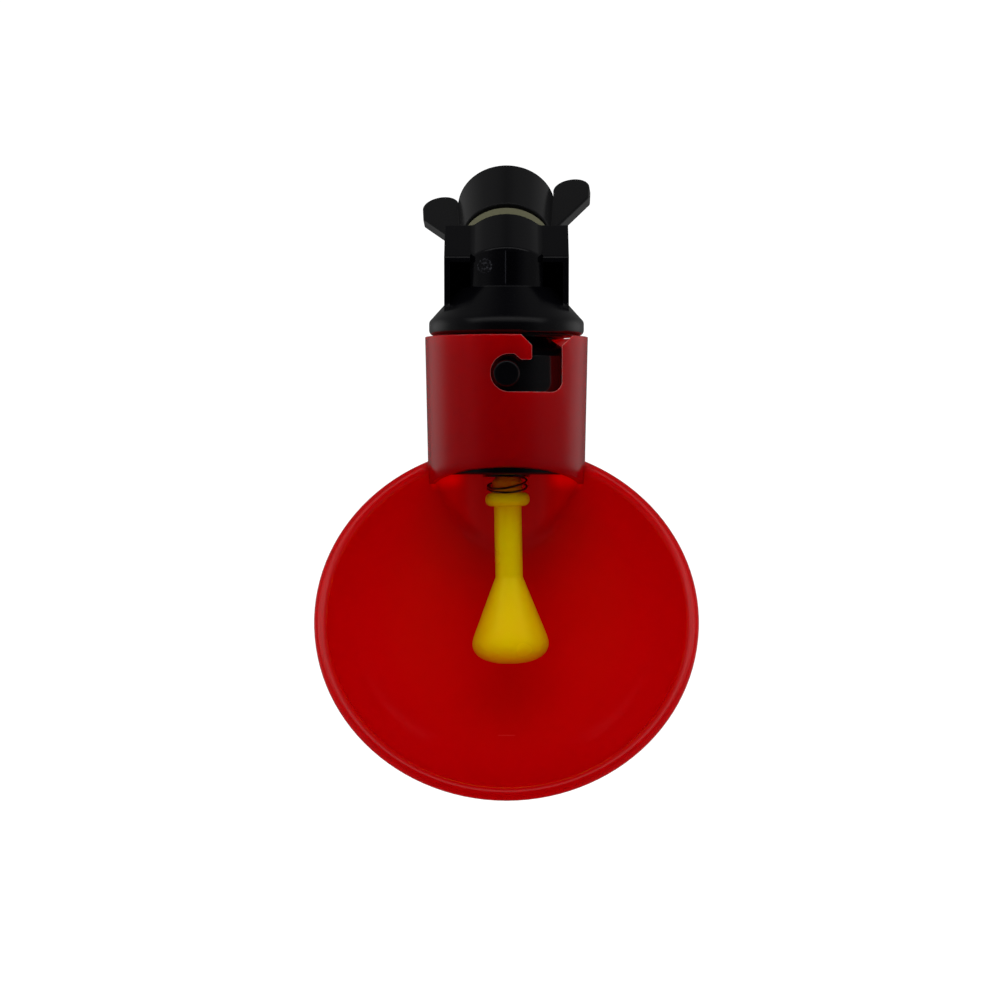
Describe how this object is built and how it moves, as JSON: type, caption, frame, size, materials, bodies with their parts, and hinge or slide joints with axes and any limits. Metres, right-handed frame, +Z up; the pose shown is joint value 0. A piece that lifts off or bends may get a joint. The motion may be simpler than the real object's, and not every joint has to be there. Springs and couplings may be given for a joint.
{
  "type": "poultry drinking cup",
  "caption": "Tilted round drinking bowl on a bayonet neck, under a valve body with a swinging trigger, an inlet stem and a wing nut that clamps it to a wall.",
  "frame": {"origin": "on the axis of the inlet stem, in the flat sealing face of the valve body that the wall gasket rests on", "axes": "+Y along the inlet stem, back through the wall that carries the cup; +Z up in use; +X to the right seen from the front"},
  "size_m": [0.0798, 0.1233, 0.0948],
  "materials": {
    "cup_red": "glossy moulded polypropylene",
    "body_black": "satin moulded plastic",
    "nut_black": "satin moulded plastic",
    "trigger_yellow": "glossy moulded plastic, slightly translucent",
    "spring_steel": "drawn wire",
    "gasket_cream": "matt rubber",
    "seal_black": "matt rubber"
  },
  "bodies": {
    "valve": {"valve_body": "body_black", "seat_nut": "body_black", "seat_ring": "seal_black", "wall_gasket": "gasket_cream", "trigger_spring": "spring_steel"},
    "cup": {"cup": "cup_red"},
    "trigger": {"trigger": "trigger_yellow", "valve_seal": "seal_black"},
    "wing_nut": {"wing_nut": "nut_black"}
  },
  "joints": [
    {"name": "cup_turn", "type": "hinge", "parent": "valve", "child": "cup", "pos_m": [0, -0.01589, -0.01085], "axis": [0, 0.5736, 0.8192], "range_deg": [-30, 0]},
    {"name": "trigger_tilt", "type": "hinge", "parent": "valve", "child": "trigger", "pos_m": [0, -0.0334, -0.02782], "axis": [1, 0, 0], "range_deg": [0, 6], "stiffness_Nm_per_rad": 0.02, "springref_deg": -8.59, "deforming": ["trigger_spring"]},
    {"name": "nut_turn", "type": "hinge", "parent": "valve", "child": "wing_nut", "pos_m": [0, 0.01205, 0], "axis": [0, 1, 0], "continuous": true}
  ]
}
